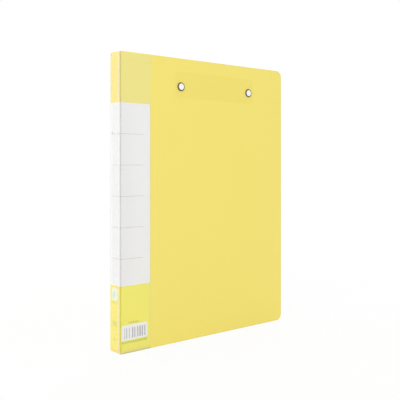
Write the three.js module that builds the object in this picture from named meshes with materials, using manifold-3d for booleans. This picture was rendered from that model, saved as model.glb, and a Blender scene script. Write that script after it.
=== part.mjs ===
// A4 clipboard folder, closed and standing upright: spine at -X, front cover facing -Y.
// One plastic board folds along two thin pressed creases into front cover, spine and back cover.
// A steel lever clip is riveted inside the front cover, and a clear welded pocket wraps the
// outside of the spine and holds a folded card that slides out of its open top.
// Millimetres, +Z up, origin on the ground under the middle of the closed folder.
import * as THREE from "three";
import { mergeVertices } from "three/addons/utils/BufferGeometryUtils.js";
import Module from "manifold-3d";

const wasm = await Module();
wasm.setup();

// Folded board
const FOLDER_HEIGHT = 310;
const COVER_WIDTH = 237; // from the spine's outer face to the free edge
const SPINE_DEPTH = 20; // over the outer faces of both covers
const BOARD = 1.2; // thickness of the board
const CORNER_RADIUS = 8; // free corners of the covers

// Creases, each a thin web bent in a quarter round. The covers turn about the outside of the
// fold, where the pocket's film creases.
const WEB = 0.4; // thickness left in the pressed crease
const CREASE_GAP = 0.3; // between the inner edges of two panels, measured along each

// Label pocket and card
const FILM = 0.15;
const POCKET_REACH = 37.5; // on each cover, from the spine's outer face
const POCKET_INSET = 1; // from the board's top and bottom edges
const SIDE_WELD = 0.8; // width of the weld along each side of the pocket
const BOTTOM_WELD = 2; // height of the weld across the bottom
const CARD = 0.25;
const CARD_DROP = 52.5; // from the board's top edge to the card's
const CARD_PLAY = 0.05; // gap on each face of the card
const CARD_SIDE_GAP = 0.3; // between the card and the side welds
const CARD_FOOT_GAP = 0.3; // between the card and the bottom weld
const CARD_SLIT = 0.03; // half of the slit between two panels of the card at a fold, in radians

// Clip: base plate with two ears
const CLIP_FROM_SPINE = 129; // middle of the clip, from the spine's outer face
const CLIP_DROP = 14.5; // from the cover's top edge to the base plate
const PLATE_HEIGHT = 29;
const PLATE = 1; // thickness of the base plate's steel
const PLATE_CORNER = 6;
const WING = 8; // of the base plate past each rivet's middle
const SEAT = 0.05; // gap between pieces that rest on each other
const EAR_FROM_RIVET = 7.5; // from a rivet's middle to the ear's outer face
const EAR_WIDTH = 8;
const EAR_RIM = 1.9; // of the ear round the rod
const EAR_GAP = 0.5; // between an ear and the jaw's side

// Clip: rod and rivets
const ROD_RADIUS = 1.5;
const ROD_HEAD_STEP = 1;
const ROD_HEAD = 0.9;
const ROD_END_GAP = 0.3;
const PIVOT_HEIGHT = 7; // rod's axis above the cover's inner face
const PIVOT_RISE = 16.5; // rod's axis above the base plate's lower edge
const RIVET_SPACING = 102;
const RIVET_RISE = 12.5; // above the base plate's lower edge
const RIVET_RADIUS = 2;
const RIVET_HEAD_RADIUS = 4.75;
const RIVET_HEAD = 1;
const RIVET_TAIL_RADIUS = 3.2;
const RIVET_TAIL = 0.8;
const RIVET_BORE_RADIUS = 1.2;
const RIVET_BORE_DEPTH = 2.4;
const HOLE_CLEARANCE = 0.2; // round rivets and the rod's fixed ends
const TURN_CLEARANCE = 0.3; // round the rod in the jaw

// Clip: jaw, a bent steel plate from the flared lip over the rod to the thumb lever
const JAW = 0.9; // thickness of the jaw's steel
const LIP_INSET = 2.5; // lip line above the base plate's lower edge
const LIP_GAP = 0.3; // between the closed grips and the base plate
const FLARE_RUN = 3.2;
const FLARE_RISE = 2.6;
const SHOULDER_GAP = 0.8; // between the springs and the jaw over them
const SHOULDER_DROP = 3.5; // from the rod's axis towards the lip
const LEVER_RISE = 1; // of the lever's end over the shoulder
const LEVER_LENGTH = 12; // from the rod's axis to the curl
const CURL_RUN = 3.2; // curl at the lever's end
const CURL_FALL = 1.8;
const BEND_REACH = 2.4; // how far each bend eats into the straights beside it
const LIP_BEND_REACH = 2;
const LEVER_WIDTH = 50;
const LEVER_FILLET = 7;
const SHOULDER_TOP = 4.5; // top of the jaw's full width, above the rod's axis
const LIP_CORNER = 2.5;
const FLANGE_RIM = 1.7; // of the jaw's side round the rod
const FLANGE_LOW = 8; // how far the jaw's side runs towards the lip
const FLANGE_HIGH = 3; // and towards the lever

// Clip: soft grips on the two ends of the lip
const GRIP = 0.8;
const GRIP_FIT = 0.2;
const GRIP_WIDTH = 12;
const GRIP_WRAP = 8.5; // along the jaw, from the lip's edge

// Clip: two torsion springs on the rod
const WIRE_RADIUS = 0.45;
const COIL_GAP = 0.55; // between the coil and the rod
const TURN_GAP = 0.5; // between two turns of the coil
const COIL_TURNS = 5; // whole turns, besides the part turn between the legs
const SPRING_FROM_MIDDLE = 17;
const SPRING_GAP = 0.3; // between a leg and what it presses on
const BASE_LEG_INSET = 3.5; // from the base plate's top edge to the leg's end
const LEVER_LEG_INSET = 3; // from the lever's curl to the leg's end

const ARC_STEPS = 8;
const ROUND_STEPS = 24;
const COIL_STEPS = 8; // a turn
const WIRE_SIDES = 5;

// Where the sizes above put things
const spineFace = -COVER_WIDTH / 2;
const frontFace = -SPINE_DEPTH / 2;
const frontInside = frontFace + BOARD;
const creaseRun = BOARD - WEB / 2 + CREASE_GAP; // from mid web to the next panel's edge
const foldX = spineFace + WEB / 2 + creaseRun; // middle of each crease's bend
const foldY = frontFace + WEB / 2 + creaseRun;
const boardRound = creaseRun + WEB / 2; // the board's outer face round the bend
const cardRound = boardRound + CARD_PLAY;
const filmRound = cardRound + CARD + CARD_PLAY;
const cardReach = POCKET_REACH - SIDE_WELD - CARD_SIDE_GAP;
const cardFoot = POCKET_INSET + BOTTOM_WELD + CARD_FOOT_GAP;
const cardTop = FOLDER_HEIGHT - CARD_DROP;
const pocketTop = FOLDER_HEIGHT - POCKET_INSET;
const clipX = spineFace + CLIP_FROM_SPINE;
const clipZ = FOLDER_HEIGHT - CLIP_DROP - PLATE_HEIGHT;
const plateTop = SEAT + PLATE; // above the cover's inner face
const plateHalf = RIVET_SPACING / 2 + WING;
const earOutside = RIVET_SPACING / 2 - EAR_FROM_RIVET; // from the clip's middle
const earInside = earOutside - PLATE;
const jawHalf = earInside - EAR_GAP;
const coilRadius = ROD_RADIUS + COIL_GAP + WIRE_RADIUS; // to the middle of the wire
const shoulderHeight = coilRadius + WIRE_RADIUS + SHOULDER_GAP + JAW / 2;
const leverHeight = shoulderHeight + LEVER_RISE; // above the rod's axis, to mid steel

const yellowBoard = new THREE.MeshStandardMaterial({ color: 0xf3e276, roughness: 0.5 });
const clearFilm = new THREE.MeshStandardMaterial({
  color: 0xe6f2e0,
  roughness: 0.15,
  transparent: true,
  opacity: 0.3,
});
const whiteCard = new THREE.MeshStandardMaterial({ color: 0xf2f2f0, roughness: 0.8 });
const nickelSteel = new THREE.MeshStandardMaterial({
  color: 0xc9c9c6,
  roughness: 0.25,
  metalness: 1,
});
const springSteel = new THREE.MeshStandardMaterial({
  color: 0xa9aaac,
  roughness: 0.35,
  metalness: 1,
});
const softVinyl = new THREE.MeshStandardMaterial({ color: 0x2b2b2d, roughness: 0.6 });

function extrude(shape, depth) {
  return new THREE.ExtrudeGeometry(shape, {
    depth,
    bevelEnabled: false,
    curveSegments: ARC_STEPS,
  });
}

// A shape drawn in (x, y), extruded up from low to high.
function extrudeUp(shape, low, high) {
  return extrude(shape, high - low).translate(0, 0, low);
}

// A shape drawn in (x, z), extruded through the thickness from near to far in y.
function extrudeThrough(shape, near, far) {
  return extrude(shape, far - near)
    .rotateX(Math.PI / 2)
    .translate(0, far, 0);
}

// A shape drawn in (y, z), extruded across from left to right in x.
function extrudeAcross(shape, left, right) {
  const turn = new THREE.Matrix4().makeBasis(
    new THREE.Vector3(0, 1, 0),
    new THREE.Vector3(0, 0, 1),
    new THREE.Vector3(1, 0, 0),
  );
  return extrude(shape, right - left)
    .applyMatrix4(turn)
    .translate(left, 0, 0);
}

function block(x0, x1, y0, y1, z0, z1) {
  return new THREE.BoxGeometry(x1 - x0, y1 - y0, z1 - z0).translate(
    (x0 + x1) / 2,
    (y0 + y1) / 2,
    (z0 + z1) / 2,
  );
}

function toSolid(geometry) {
  const bare = geometry.clone();
  bare.deleteAttribute("normal");
  bare.deleteAttribute("uv");
  const merged = mergeVertices(bare, 1e-4);
  return new wasm.Manifold(
    new wasm.Mesh({
      numProp: 3,
      vertProperties: merged.attributes.position.array,
      triVerts: new Uint32Array(merged.index.array),
    }),
  );
}

function toGeometry(solid) {
  const made = solid.getMesh();
  const geometry = new THREE.BufferGeometry();
  geometry.setAttribute("position", new THREE.BufferAttribute(made.vertProperties, 3));
  geometry.setIndex(new THREE.BufferAttribute(made.triVerts, 1));
  geometry.computeVertexNormals();
  return geometry;
}

function join(...geometries) {
  return toGeometry(geometries.map(toSolid).reduce((a, b) => a.add(b)));
}

function cut(geometry, ...tools) {
  return toGeometry([geometry, ...tools].map(toSolid).reduce((a, b) => a.subtract(b)));
}

function addMesh(parent, name, geometry, material) {
  const mesh = new THREE.Mesh(geometry, material);
  mesh.name = name;
  parent.add(mesh);
  return mesh;
}

// A ring sector in (x, y) round a crease's bend; side is -1 at the front and 1 at the back.
// Angles run from 0 at the spine to a right angle at the cover.
function bendSector(inner, outer, from, to, side) {
  const angle = (a) => Math.PI + (side < 0 ? a : -a);
  const shape = new THREE.Shape();
  shape.absarc(foldX, side * -foldY, outer, angle(from), angle(to), side > 0);
  shape.absarc(foldX, side * -foldY, inner, angle(to), angle(from), side < 0);
  return shape;
}

function hole(x, y, radius) {
  return new THREE.Path().absarc(x, y, radius, 0, 2 * Math.PI, false);
}

// Covers: a flat panel with two rounded free corners
function coverPanel(side, holes) {
  const free = spineFace + COVER_WIDTH;
  const inset = CORNER_RADIUS;
  const shape = new THREE.Shape()
    .moveTo(foldX, 0)
    .lineTo(free - inset, 0)
    .absarc(free - inset, inset, inset, -Math.PI / 2, 0, false)
    .lineTo(free, FOLDER_HEIGHT - inset)
    .absarc(free - inset, FOLDER_HEIGHT - inset, inset, 0, Math.PI / 2, false)
    .lineTo(foldX, FOLDER_HEIGHT);
  shape.holes = holes;
  const outside = side * -frontFace;
  const inside = side * -frontInside;
  return extrudeThrough(shape, Math.min(outside, inside), Math.max(outside, inside));
}

function rivetHoles() {
  return [-1, 1].map((side) =>
    hole(
      clipX + (side * RIVET_SPACING) / 2,
      clipZ + RIVET_RISE,
      RIVET_RADIUS + HOLE_CLEARANCE,
    ),
  );
}

function spinePanel() {
  return block(spineFace, spineFace + BOARD, foldY, -foldY, 0, FOLDER_HEIGHT);
}

function creaseWeb(side) {
  const shape = bendSector(boardRound - WEB, boardRound, 0, Math.PI / 2, side);
  return extrudeUp(shape, 0, FOLDER_HEIGHT);
}

// Pocket film on a cover: a clear sheet over the card, welded down along its side and its foot
function coverFilm(side) {
  const cardFace = filmRound - boardRound; // the film's inner face, from the board
  const outside = side * (-frontFace + cardFace + FILM);
  const inside = side * (-frontFace + cardFace);
  const weld = side * (-frontFace + SEAT);
  const edge = spineFace + POCKET_REACH;
  const sheet = new THREE.Shape()
    .moveTo(foldX, outside)
    .lineTo(edge, outside)
    .lineTo(edge, weld)
    .lineTo(edge - SIDE_WELD, weld)
    .lineTo(edge - SIDE_WELD, inside)
    .lineTo(foldX, inside);
  const foot = block(
    foldX,
    edge,
    Math.min(weld, outside),
    Math.max(weld, outside),
    POCKET_INSET,
    POCKET_INSET + BOTTOM_WELD,
  );
  return join(extrudeUp(sheet, POCKET_INSET, pocketTop), foot);
}

function spineFilm() {
  const inside = foldX - filmRound;
  const outside = inside - FILM;
  const weld = spineFace - SEAT;
  return join(
    block(outside, inside, foldY, -foldY, POCKET_INSET, pocketTop),
    block(outside, weld, foldY, -foldY, POCKET_INSET, POCKET_INSET + BOTTOM_WELD),
  );
}

function filmFold(side) {
  const sheet = bendSector(filmRound, filmRound + FILM, 0, Math.PI / 2, side);
  const foot = bendSector(boardRound + SEAT, filmRound + FILM, 0, Math.PI / 2, side);
  return join(
    extrudeUp(sheet, POCKET_INSET, pocketTop),
    extrudeUp(foot, POCKET_INSET, POCKET_INSET + BOTTOM_WELD),
  );
}

// Card panels: each ends in half of the rounded fold, so that two panels meet in its middle
function halfFold(side, from, to) {
  const shape = bendSector(cardRound, cardRound + CARD, from, to, side);
  return extrudeUp(shape, cardFoot, cardTop);
}

function coverCard(side) {
  const near = side * (-frontFace + cardRound - boardRound);
  const far = near + side * CARD;
  const panel = block(
    foldX,
    spineFace + cardReach,
    Math.min(near, far),
    Math.max(near, far),
    cardFoot,
    cardTop,
  );
  return join(panel, halfFold(side, Math.PI / 4 + CARD_SLIT, Math.PI / 2));
}

function spineCard() {
  const near = foldX - cardRound;
  const panel = block(near - CARD, near, foldY, -foldY, cardFoot, cardTop);
  const halves = [-1, 1].map((side) => halfFold(side, 0, Math.PI / 4 - CARD_SLIT));
  return join(panel, ...halves);
}

// Base plate: x from its middle, y from the cover's inner face, z from its lower edge
function basePlate() {
  const half = plateHalf;
  const round = PLATE_CORNER;
  const outline = new THREE.Shape()
    .moveTo(-half + round, 0)
    .lineTo(half - round, 0)
    .absarc(half - round, round, round, -Math.PI / 2, 0, false)
    .lineTo(half, PLATE_HEIGHT - round)
    .absarc(half - round, PLATE_HEIGHT - round, round, 0, Math.PI / 2, false)
    .lineTo(-half + round, PLATE_HEIGHT)
    .absarc(-half + round, PLATE_HEIGHT - round, round, Math.PI / 2, Math.PI, false)
    .lineTo(-half, round)
    .absarc(-half + round, round, round, Math.PI, 1.5 * Math.PI, false);
  outline.holes = [-1, 1].map((side) =>
    hole((side * RIVET_SPACING) / 2, RIVET_RISE, RIVET_RADIUS + HOLE_CLEARANCE),
  );
  const plate = extrudeThrough(outline, SEAT, plateTop);
  const earHeight = PIVOT_HEIGHT + ROD_RADIUS + EAR_RIM - plateTop;
  const windowHalf = EAR_WIDTH / 2 + HOLE_CLEARANCE;
  const ears = [];
  const windows = [];
  for (const side of [-1, 1]) {
    const outer = side * earOutside;
    const inner = side * earInside;
    const blank = side * (earInside - earHeight); // where the ear's end was cut from
    ears.push(extrudeAcross(earShape(), Math.min(inner, outer), Math.max(inner, outer)));
    windows.push(
      block(
        Math.min(blank, inner),
        Math.max(blank, inner),
        SEAT - PLATE,
        plateTop + PLATE,
        PIVOT_RISE - windowHalf,
        PIVOT_RISE + windowHalf,
      ),
    );
  }
  return join(cut(plate, ...windows), ...ears);
}

// An ear in (y, z): straight sides up to a round end about the rod's axis, with the rod's hole
function earShape() {
  const round = ROD_RADIUS + EAR_RIM;
  const shape = new THREE.Shape()
    .moveTo(SEAT, PIVOT_RISE - EAR_WIDTH / 2)
    .lineTo(plateTop, PIVOT_RISE - EAR_WIDTH / 2)
    .lineTo(PIVOT_HEIGHT, PIVOT_RISE - round)
    .absarc(PIVOT_HEIGHT, PIVOT_RISE, round, -Math.PI / 2, Math.PI / 2, false)
    .lineTo(plateTop, PIVOT_RISE + EAR_WIDTH / 2)
    .lineTo(SEAT, PIVOT_RISE + EAR_WIDTH / 2);
  shape.holes = [hole(PIVOT_HEIGHT, PIVOT_RISE, ROD_RADIUS + HOLE_CLEARANCE)];
  return shape;
}

// Rivet: domed head outside the cover, tubular tail rolled over on the base plate
function rivet() {
  const held = BOARD + plateTop + 2 * SEAT; // from under the head to under the tail
  const tip = held + RIVET_TAIL;
  const profile = [new THREE.Vector2(0, -RIVET_HEAD)];
  for (let i = 1; i <= ARC_STEPS; i++) {
    const a = (i / ARC_STEPS) * (Math.PI / 2);
    profile.push(
      new THREE.Vector2(RIVET_HEAD_RADIUS * Math.sin(a), -RIVET_HEAD * Math.cos(a)),
    );
  }
  profile.push(
    new THREE.Vector2(RIVET_RADIUS, 0),
    new THREE.Vector2(RIVET_RADIUS, held),
    new THREE.Vector2(RIVET_TAIL_RADIUS, held),
    new THREE.Vector2(RIVET_TAIL_RADIUS, held + RIVET_TAIL / 2),
    new THREE.Vector2((RIVET_TAIL_RADIUS + RIVET_BORE_RADIUS) / 2, tip),
    new THREE.Vector2(RIVET_BORE_RADIUS, held + RIVET_TAIL / 2),
    new THREE.Vector2(RIVET_BORE_RADIUS, tip - RIVET_BORE_DEPTH),
    new THREE.Vector2(0, tip - RIVET_BORE_DEPTH),
  );
  return new THREE.LatheGeometry(profile, ROUND_STEPS);
}

// Rod with a flattened head at each end, lying along x
function rod() {
  const half = earOutside + ROD_END_GAP;
  const head = ROD_RADIUS + ROD_HEAD_STEP;
  const profile = [
    new THREE.Vector2(0, -half - ROD_HEAD),
    new THREE.Vector2(head, -half - ROD_HEAD),
    new THREE.Vector2(head, -half),
    new THREE.Vector2(ROD_RADIUS, -half),
    new THREE.Vector2(ROD_RADIUS, half),
    new THREE.Vector2(head, half),
    new THREE.Vector2(head, half + ROD_HEAD),
    new THREE.Vector2(0, half + ROD_HEAD),
  ];
  return new THREE.LatheGeometry(profile, ROUND_STEPS).rotateZ(Math.PI / 2);
}

// A line through corners in (y, z), with a rounded bend at each inner corner.
// Each bend eats as far into the straights beside it as its own reach says.
function bentLine(corners, reaches) {
  const points = corners.map(([y, z]) => new THREE.Vector2(y, z));
  const path = new THREE.Path().moveTo(points[0].x, points[0].y);
  for (let i = 1; i < points.length - 1; i++) {
    const back = points[i - 1].clone().sub(points[i]).setLength(reaches[i - 1]);
    const on = points[i + 1].clone().sub(points[i]).setLength(reaches[i - 1]);
    const start = points[i].clone().add(back);
    const end = points[i].clone().add(on);
    path.lineTo(start.x, start.y);
    path.quadraticCurveTo(points[i].x, points[i].y, end.x, end.y);
  }
  path.lineTo(points.at(-1).x, points.at(-1).y);
  return path.getPoints(ARC_STEPS / 2);
}

// The line moved sideways by a distance, with mitred corners.
function offsetLine(line, distance) {
  return line.map((point, i) => {
    const before = line[Math.max(i - 1, 0)];
    const after = line[Math.min(i + 1, line.length - 1)];
    const into = point === before ? after.clone().sub(point) : point.clone().sub(before);
    const out = point === after ? into : after.clone().sub(point);
    const a = new THREE.Vector2(-into.y, into.x).normalize();
    const b = new THREE.Vector2(-out.y, out.x).normalize();
    const mitre = a.clone().add(b).normalize();
    return point.clone().addScaledVector(mitre, distance / mitre.dot(a));
  });
}

function stripShape(line, halfThickness) {
  return new THREE.Shape([
    ...offsetLine(line, halfThickness),
    ...offsetLine(line, -halfThickness).reverse(),
  ]);
}

// The jaw's middle line in (y, z) about the rod's axis, from the flared lip to the lever's curl
const lipY = plateTop + LIP_GAP + GRIP + GRIP_FIT + JAW / 2 - PIVOT_HEIGHT;
const lipZ = LIP_INSET - PIVOT_RISE;
const jawLine = bentLine(
  [
    [lipY + FLARE_RISE, lipZ - FLARE_RUN],
    [lipY, lipZ],
    [shoulderHeight, -SHOULDER_DROP],
    [leverHeight, LEVER_LENGTH],
    [leverHeight - CURL_FALL, LEVER_LENGTH + CURL_RUN],
  ],
  [LIP_BEND_REACH, BEND_REACH, LIP_BEND_REACH],
);

// The jaw seen from the front, in (x, z): full width at the lip, narrow at the lever
function jawOutline() {
  const half = jawHalf;
  const lever = LEVER_WIDTH / 2;
  const low = lipZ - FLARE_RUN - JAW;
  const high = LEVER_LENGTH + CURL_RUN + JAW;
  const r = LEVER_FILLET;
  const c = LIP_CORNER;
  return new THREE.Shape()
    .moveTo(-half + c, low)
    .lineTo(half - c, low)
    .absarc(half - c, low + c, c, -Math.PI / 2, 0, false)
    .lineTo(half, SHOULDER_TOP)
    .lineTo(lever + r, SHOULDER_TOP)
    .quadraticCurveTo(lever, SHOULDER_TOP, lever, high - r)
    .absarc(lever - r, high - r, r, 0, Math.PI / 2, false)
    .lineTo(-lever + r, high)
    .absarc(-lever + r, high - r, r, Math.PI / 2, Math.PI, false)
    .quadraticCurveTo(-lever, SHOULDER_TOP, -lever - r, SHOULDER_TOP)
    .lineTo(-half, SHOULDER_TOP)
    .lineTo(-half, low + c)
    .absarc(-half + c, low + c, c, Math.PI, 1.5 * Math.PI, false);
}

// The jaw's side in (y, z): under the bent plate, round the rod
function flangeShape() {
  const under = jawLine.filter((p) => p.y > -FLANGE_LOW && p.y < FLANGE_HIGH);
  const low = pointAt(-FLANGE_LOW);
  const high = pointAt(FLANGE_HIGH);
  const shape = new THREE.Shape([low, ...under, high]);
  const round = ROD_RADIUS + FLANGE_RIM;
  shape.absarc(0, 0, round, Math.PI / 2, 1.45 * Math.PI, false);
  shape.closePath();
  return shape;
}

// The point of the jaw's middle line at a height z.
function pointAt(z) {
  const next = jawLine.findIndex((p) => p.y > z);
  const a = jawLine[next - 1];
  const b = jawLine[next];
  return a.clone().lerp(b, (z - a.y) / (b.y - a.y));
}

function jaw() {
  const deep = leverHeight + PIVOT_HEIGHT;
  const plate = toSolid(extrudeAcross(stripShape(jawLine, JAW / 2), -jawHalf, jawHalf));
  const outline = toSolid(extrudeThrough(jawOutline(), -deep, deep));
  const sides = [
    extrudeAcross(flangeShape(), -jawHalf, JAW - jawHalf),
    extrudeAcross(flangeShape(), jawHalf - JAW, jawHalf),
  ];
  const body = join(toGeometry(plate.intersect(outline)), ...sides);
  const radius = ROD_RADIUS + TURN_CLEARANCE;
  const bore = new THREE.CylinderGeometry(radius, radius, 2 * earOutside, ROUND_STEPS);
  return cut(body, bore.rotateZ(Math.PI / 2));
}

// Soft grip: a U-shaped sleeve pushed over the lip's edge, in (y, z) about the rod's axis
function grip(side) {
  let run = 0;
  const wrapped = jawLine.filter((point, i) => {
    if (i > 0) run += point.distanceTo(jawLine[i - 1]);
    return run < GRIP_WRAP;
  });
  const last = wrapped.length - 1;
  const onward = jawLine[last + 1].clone().sub(jawLine[last]);
  let used = 0;
  for (let i = 1; i <= last; i++) used += wrapped[i].distanceTo(wrapped[i - 1]);
  wrapped.push(jawLine[last].clone().add(onward.setLength(GRIP_WRAP - used)));
  const outward = jawLine[0].clone().sub(jawLine[1]).normalize();
  const sleeve = (beyond, halfThickness) => {
    const line = [jawLine[0].clone().addScaledVector(outward, beyond), ...wrapped.slice(1)];
    return [offsetLine(line, halfThickness).reverse(), offsetLine(line, -halfThickness)];
  };
  const [outerLeft, outerRight] = sleeve(GRIP_FIT + GRIP, JAW / 2 + GRIP_FIT + GRIP);
  const [innerLeft, innerRight] = sleeve(GRIP_FIT, JAW / 2 + GRIP_FIT);
  const shape = new THREE.Shape([
    ...outerLeft,
    ...outerRight,
    ...innerRight.reverse(),
    ...innerLeft.reverse(),
  ]);
  const outer = side * (jawHalf + GRIP_FIT);
  const inner = side * (jawHalf - GRIP_WIDTH);
  return extrudeAcross(shape, Math.min(inner, outer), Math.max(inner, outer));
}

// The angle at which a straight leg from a point in (y, z) touches the coil; sense says on which
// side, 1 where the wire runs onto the coil and -1 where it leaves it.
function touchAngle(point, sense) {
  const spread = Math.acos(coilRadius / point.length());
  return point.angle() + sense * spread;
}

// The middle line of a torsion spring: base leg, coil along x, lever leg; side mirrors it in x
function springLine(side) {
  const lever = pointAt(LEVER_LENGTH - LEVER_LEG_INSET);
  const leverEnd = new THREE.Vector2(lever.x - JAW / 2 - WIRE_RADIUS - SPRING_GAP, lever.y);
  const baseHeight = plateTop + WIRE_RADIUS + SPRING_GAP - PIVOT_HEIGHT;
  const baseEnd = new THREE.Vector2(baseHeight, PLATE_HEIGHT - PIVOT_RISE - BASE_LEG_INSET);
  const start = touchAngle(baseEnd, 1);
  let end = touchAngle(leverEnd, -1);
  while (end < start) end += 2 * Math.PI;
  end += 2 * Math.PI * COIL_TURNS;
  const turns = (end - start) / (2 * Math.PI);
  const steps = Math.round(turns * COIL_STEPS);
  const length = turns * (2 * WIRE_RADIUS + TURN_GAP);
  const at = (share) => side * (SPRING_FROM_MIDDLE + (share - 0.5) * length);
  const line = [new THREE.Vector3(at(0), baseEnd.x, baseEnd.y)];
  for (let i = 0; i <= steps; i++) {
    const a = start + (i / steps) * (end - start);
    line.push(
      new THREE.Vector3(at(i / steps), coilRadius * Math.cos(a), coilRadius * Math.sin(a)),
    );
  }
  line.push(new THREE.Vector3(at(1), leverEnd.x, leverEnd.y));
  return line;
}

// A closed tube round a line, with its section carried along without twist.
function tube(line, radius, sides) {
  const vertices = [];
  const faces = [];
  let normal = new THREE.Vector3(1, 0, 0);
  line.forEach((point, i) => {
    const before = line[Math.max(i - 1, 0)];
    const after = line[Math.min(i + 1, line.length - 1)];
    const along = after.clone().sub(before).normalize();
    normal = normal.clone().addScaledVector(along, -normal.dot(along)).normalize();
    const across = new THREE.Vector3().crossVectors(along, normal);
    for (let k = 0; k < sides; k++) {
      const a = (2 * Math.PI * k) / sides;
      const rim = point.clone().addScaledVector(normal, radius * Math.cos(a));
      rim.addScaledVector(across, radius * Math.sin(a));
      vertices.push(rim.x, rim.y, rim.z);
    }
  });
  const rings = line.length;
  for (let i = 0; i < rings - 1; i++) {
    for (let k = 0; k < sides; k++) {
      const a = i * sides + k;
      const b = i * sides + ((k + 1) % sides);
      faces.push(a, b, b + sides, a, b + sides, a + sides);
    }
  }
  for (let k = 1; k < sides - 1; k++) {
    const end = (rings - 1) * sides;
    faces.push(0, k + 1, k, end, end + k, end + k + 1);
  }
  const geometry = new THREE.BufferGeometry();
  geometry.setAttribute("position", new THREE.Float32BufferAttribute(vertices, 3));
  geometry.setIndex(faces);
  geometry.computeVertexNormals();
  return geometry;
}

// The least free gap between parts of one line that lie at least half a turn apart along it.
function leastGap(line, radius) {
  const apart = COIL_STEPS / 2;
  let least = Infinity;
  for (let i = 0; i < line.length; i++) {
    for (let j = i + apart; j < line.length; j++) {
      least = Math.min(least, line[i].distanceTo(line[j]) - 2 * radius);
    }
  }
  return least;
}

const folder = new THREE.Group();

const backCover = new THREE.Group();
addMesh(backCover, "back_cover", coverPanel(1, []), yellowBoard);
addMesh(backCover, "pocket_film_back", coverFilm(1), clearFilm);
folder.add(backCover);

const spine = new THREE.Group();
addMesh(spine, "spine_panel", spinePanel(), yellowBoard);
addMesh(spine, "crease_front", creaseWeb(-1), yellowBoard);
addMesh(spine, "crease_back", creaseWeb(1), yellowBoard);
addMesh(spine, "pocket_film_spine", spineFilm(), clearFilm);
addMesh(spine, "pocket_fold_front", filmFold(-1), clearFilm);
addMesh(spine, "pocket_fold_back", filmFold(1), clearFilm);
folder.add(spine);

const frontCover = new THREE.Group();
addMesh(frontCover, "front_cover", coverPanel(-1, rivetHoles()), yellowBoard);
addMesh(frontCover, "pocket_film_front", coverFilm(-1), clearFilm);
folder.add(frontCover);

const labelCard = new THREE.Group();
addMesh(labelCard, "label_card_front", coverCard(-1), whiteCard);
addMesh(labelCard, "label_card_spine", spineCard(), whiteCard);
addMesh(labelCard, "label_card_back", coverCard(1), whiteCard);
folder.add(labelCard);

const clip = new THREE.Group();
clip.position.set(clipX, frontInside, clipZ);
addMesh(clip, "clip_base_plate", basePlate(), nickelSteel);
for (const [name, side] of [
  ["rivet_left", -1],
  ["rivet_right", 1],
]) {
  const mesh = addMesh(clip, name, rivet(), nickelSteel);
  mesh.position.set((side * RIVET_SPACING) / 2, -BOARD - SEAT, RIVET_RISE);
}
frontCover.add(clip);

const pivot = new THREE.Group();
pivot.position.set(0, PIVOT_HEIGHT, PIVOT_RISE);
addMesh(pivot, "clip_rod", rod(), nickelSteel);
addMesh(pivot, "clip_jaw", jaw(), nickelSteel);
for (const [name, side] of [
  ["left", -1],
  ["right", 1],
]) {
  const line = springLine(side);
  addMesh(pivot, `clip_spring_${name}`, tube(line, WIRE_RADIUS, WIRE_SIDES), springSteel);
  addMesh(pivot, `lip_grip_${name}`, grip(side), softVinyl);
  const gap = leastGap(line, WIRE_RADIUS).toFixed(2);
  console.log(`least gap between the turns of clip_spring_${name}: ${gap} mm`);
}
clip.add(pivot);

export default folder;
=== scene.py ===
import math

import bmesh
import bpy
import numpy as np
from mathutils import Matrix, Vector


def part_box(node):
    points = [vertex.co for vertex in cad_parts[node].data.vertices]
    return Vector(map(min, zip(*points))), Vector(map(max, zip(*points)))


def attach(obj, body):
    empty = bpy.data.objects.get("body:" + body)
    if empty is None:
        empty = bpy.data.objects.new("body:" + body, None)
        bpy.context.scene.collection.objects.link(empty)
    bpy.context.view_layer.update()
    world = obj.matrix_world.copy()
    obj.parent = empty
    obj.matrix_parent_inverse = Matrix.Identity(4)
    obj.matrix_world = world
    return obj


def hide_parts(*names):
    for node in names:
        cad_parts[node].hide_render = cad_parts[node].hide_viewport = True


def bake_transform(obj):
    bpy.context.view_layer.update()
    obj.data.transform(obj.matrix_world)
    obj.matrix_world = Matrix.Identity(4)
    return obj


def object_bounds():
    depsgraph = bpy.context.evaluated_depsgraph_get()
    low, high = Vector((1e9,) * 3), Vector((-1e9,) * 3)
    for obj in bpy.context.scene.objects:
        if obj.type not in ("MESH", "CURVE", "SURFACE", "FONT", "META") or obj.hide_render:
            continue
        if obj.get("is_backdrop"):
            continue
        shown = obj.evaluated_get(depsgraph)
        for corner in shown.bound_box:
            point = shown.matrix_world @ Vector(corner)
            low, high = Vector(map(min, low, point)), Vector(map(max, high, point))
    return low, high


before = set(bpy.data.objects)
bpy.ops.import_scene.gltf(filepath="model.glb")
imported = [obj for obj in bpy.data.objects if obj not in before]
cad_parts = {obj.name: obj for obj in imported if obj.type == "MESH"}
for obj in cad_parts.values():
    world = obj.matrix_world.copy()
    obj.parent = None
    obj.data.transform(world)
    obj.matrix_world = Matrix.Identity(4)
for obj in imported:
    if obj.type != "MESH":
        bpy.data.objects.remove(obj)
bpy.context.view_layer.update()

# Covers
# Two flat panels of one folded plastic board, die-cut with round free corners and a fine sand
# grain on both faces. The front one is punched for the clip's two rivets, and the steel plate
# behind it shows through as a faint darker patch of painted shade.
MM = 0.001

EDGE_ROUND = 0.3 * MM  # the die leaves the board's edges slightly round
FACE_MARGIN = 0.9 * MM  # from a panel's outline to the border of its flat face
CREASE_EDGE_SHARE = 0.35  # the edges beside a crease are crisper than the others
FREE_CORNER = 8 * MM
RIVET_HOLE = 2.2 * MM  # its radius
CORNER_STEPS = 12
EDGE_STEPS = 4
HOLE_STEPS = 32
SHARP_DEGREES = 35  # edges between faces that meet at more than this stay sharp

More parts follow.
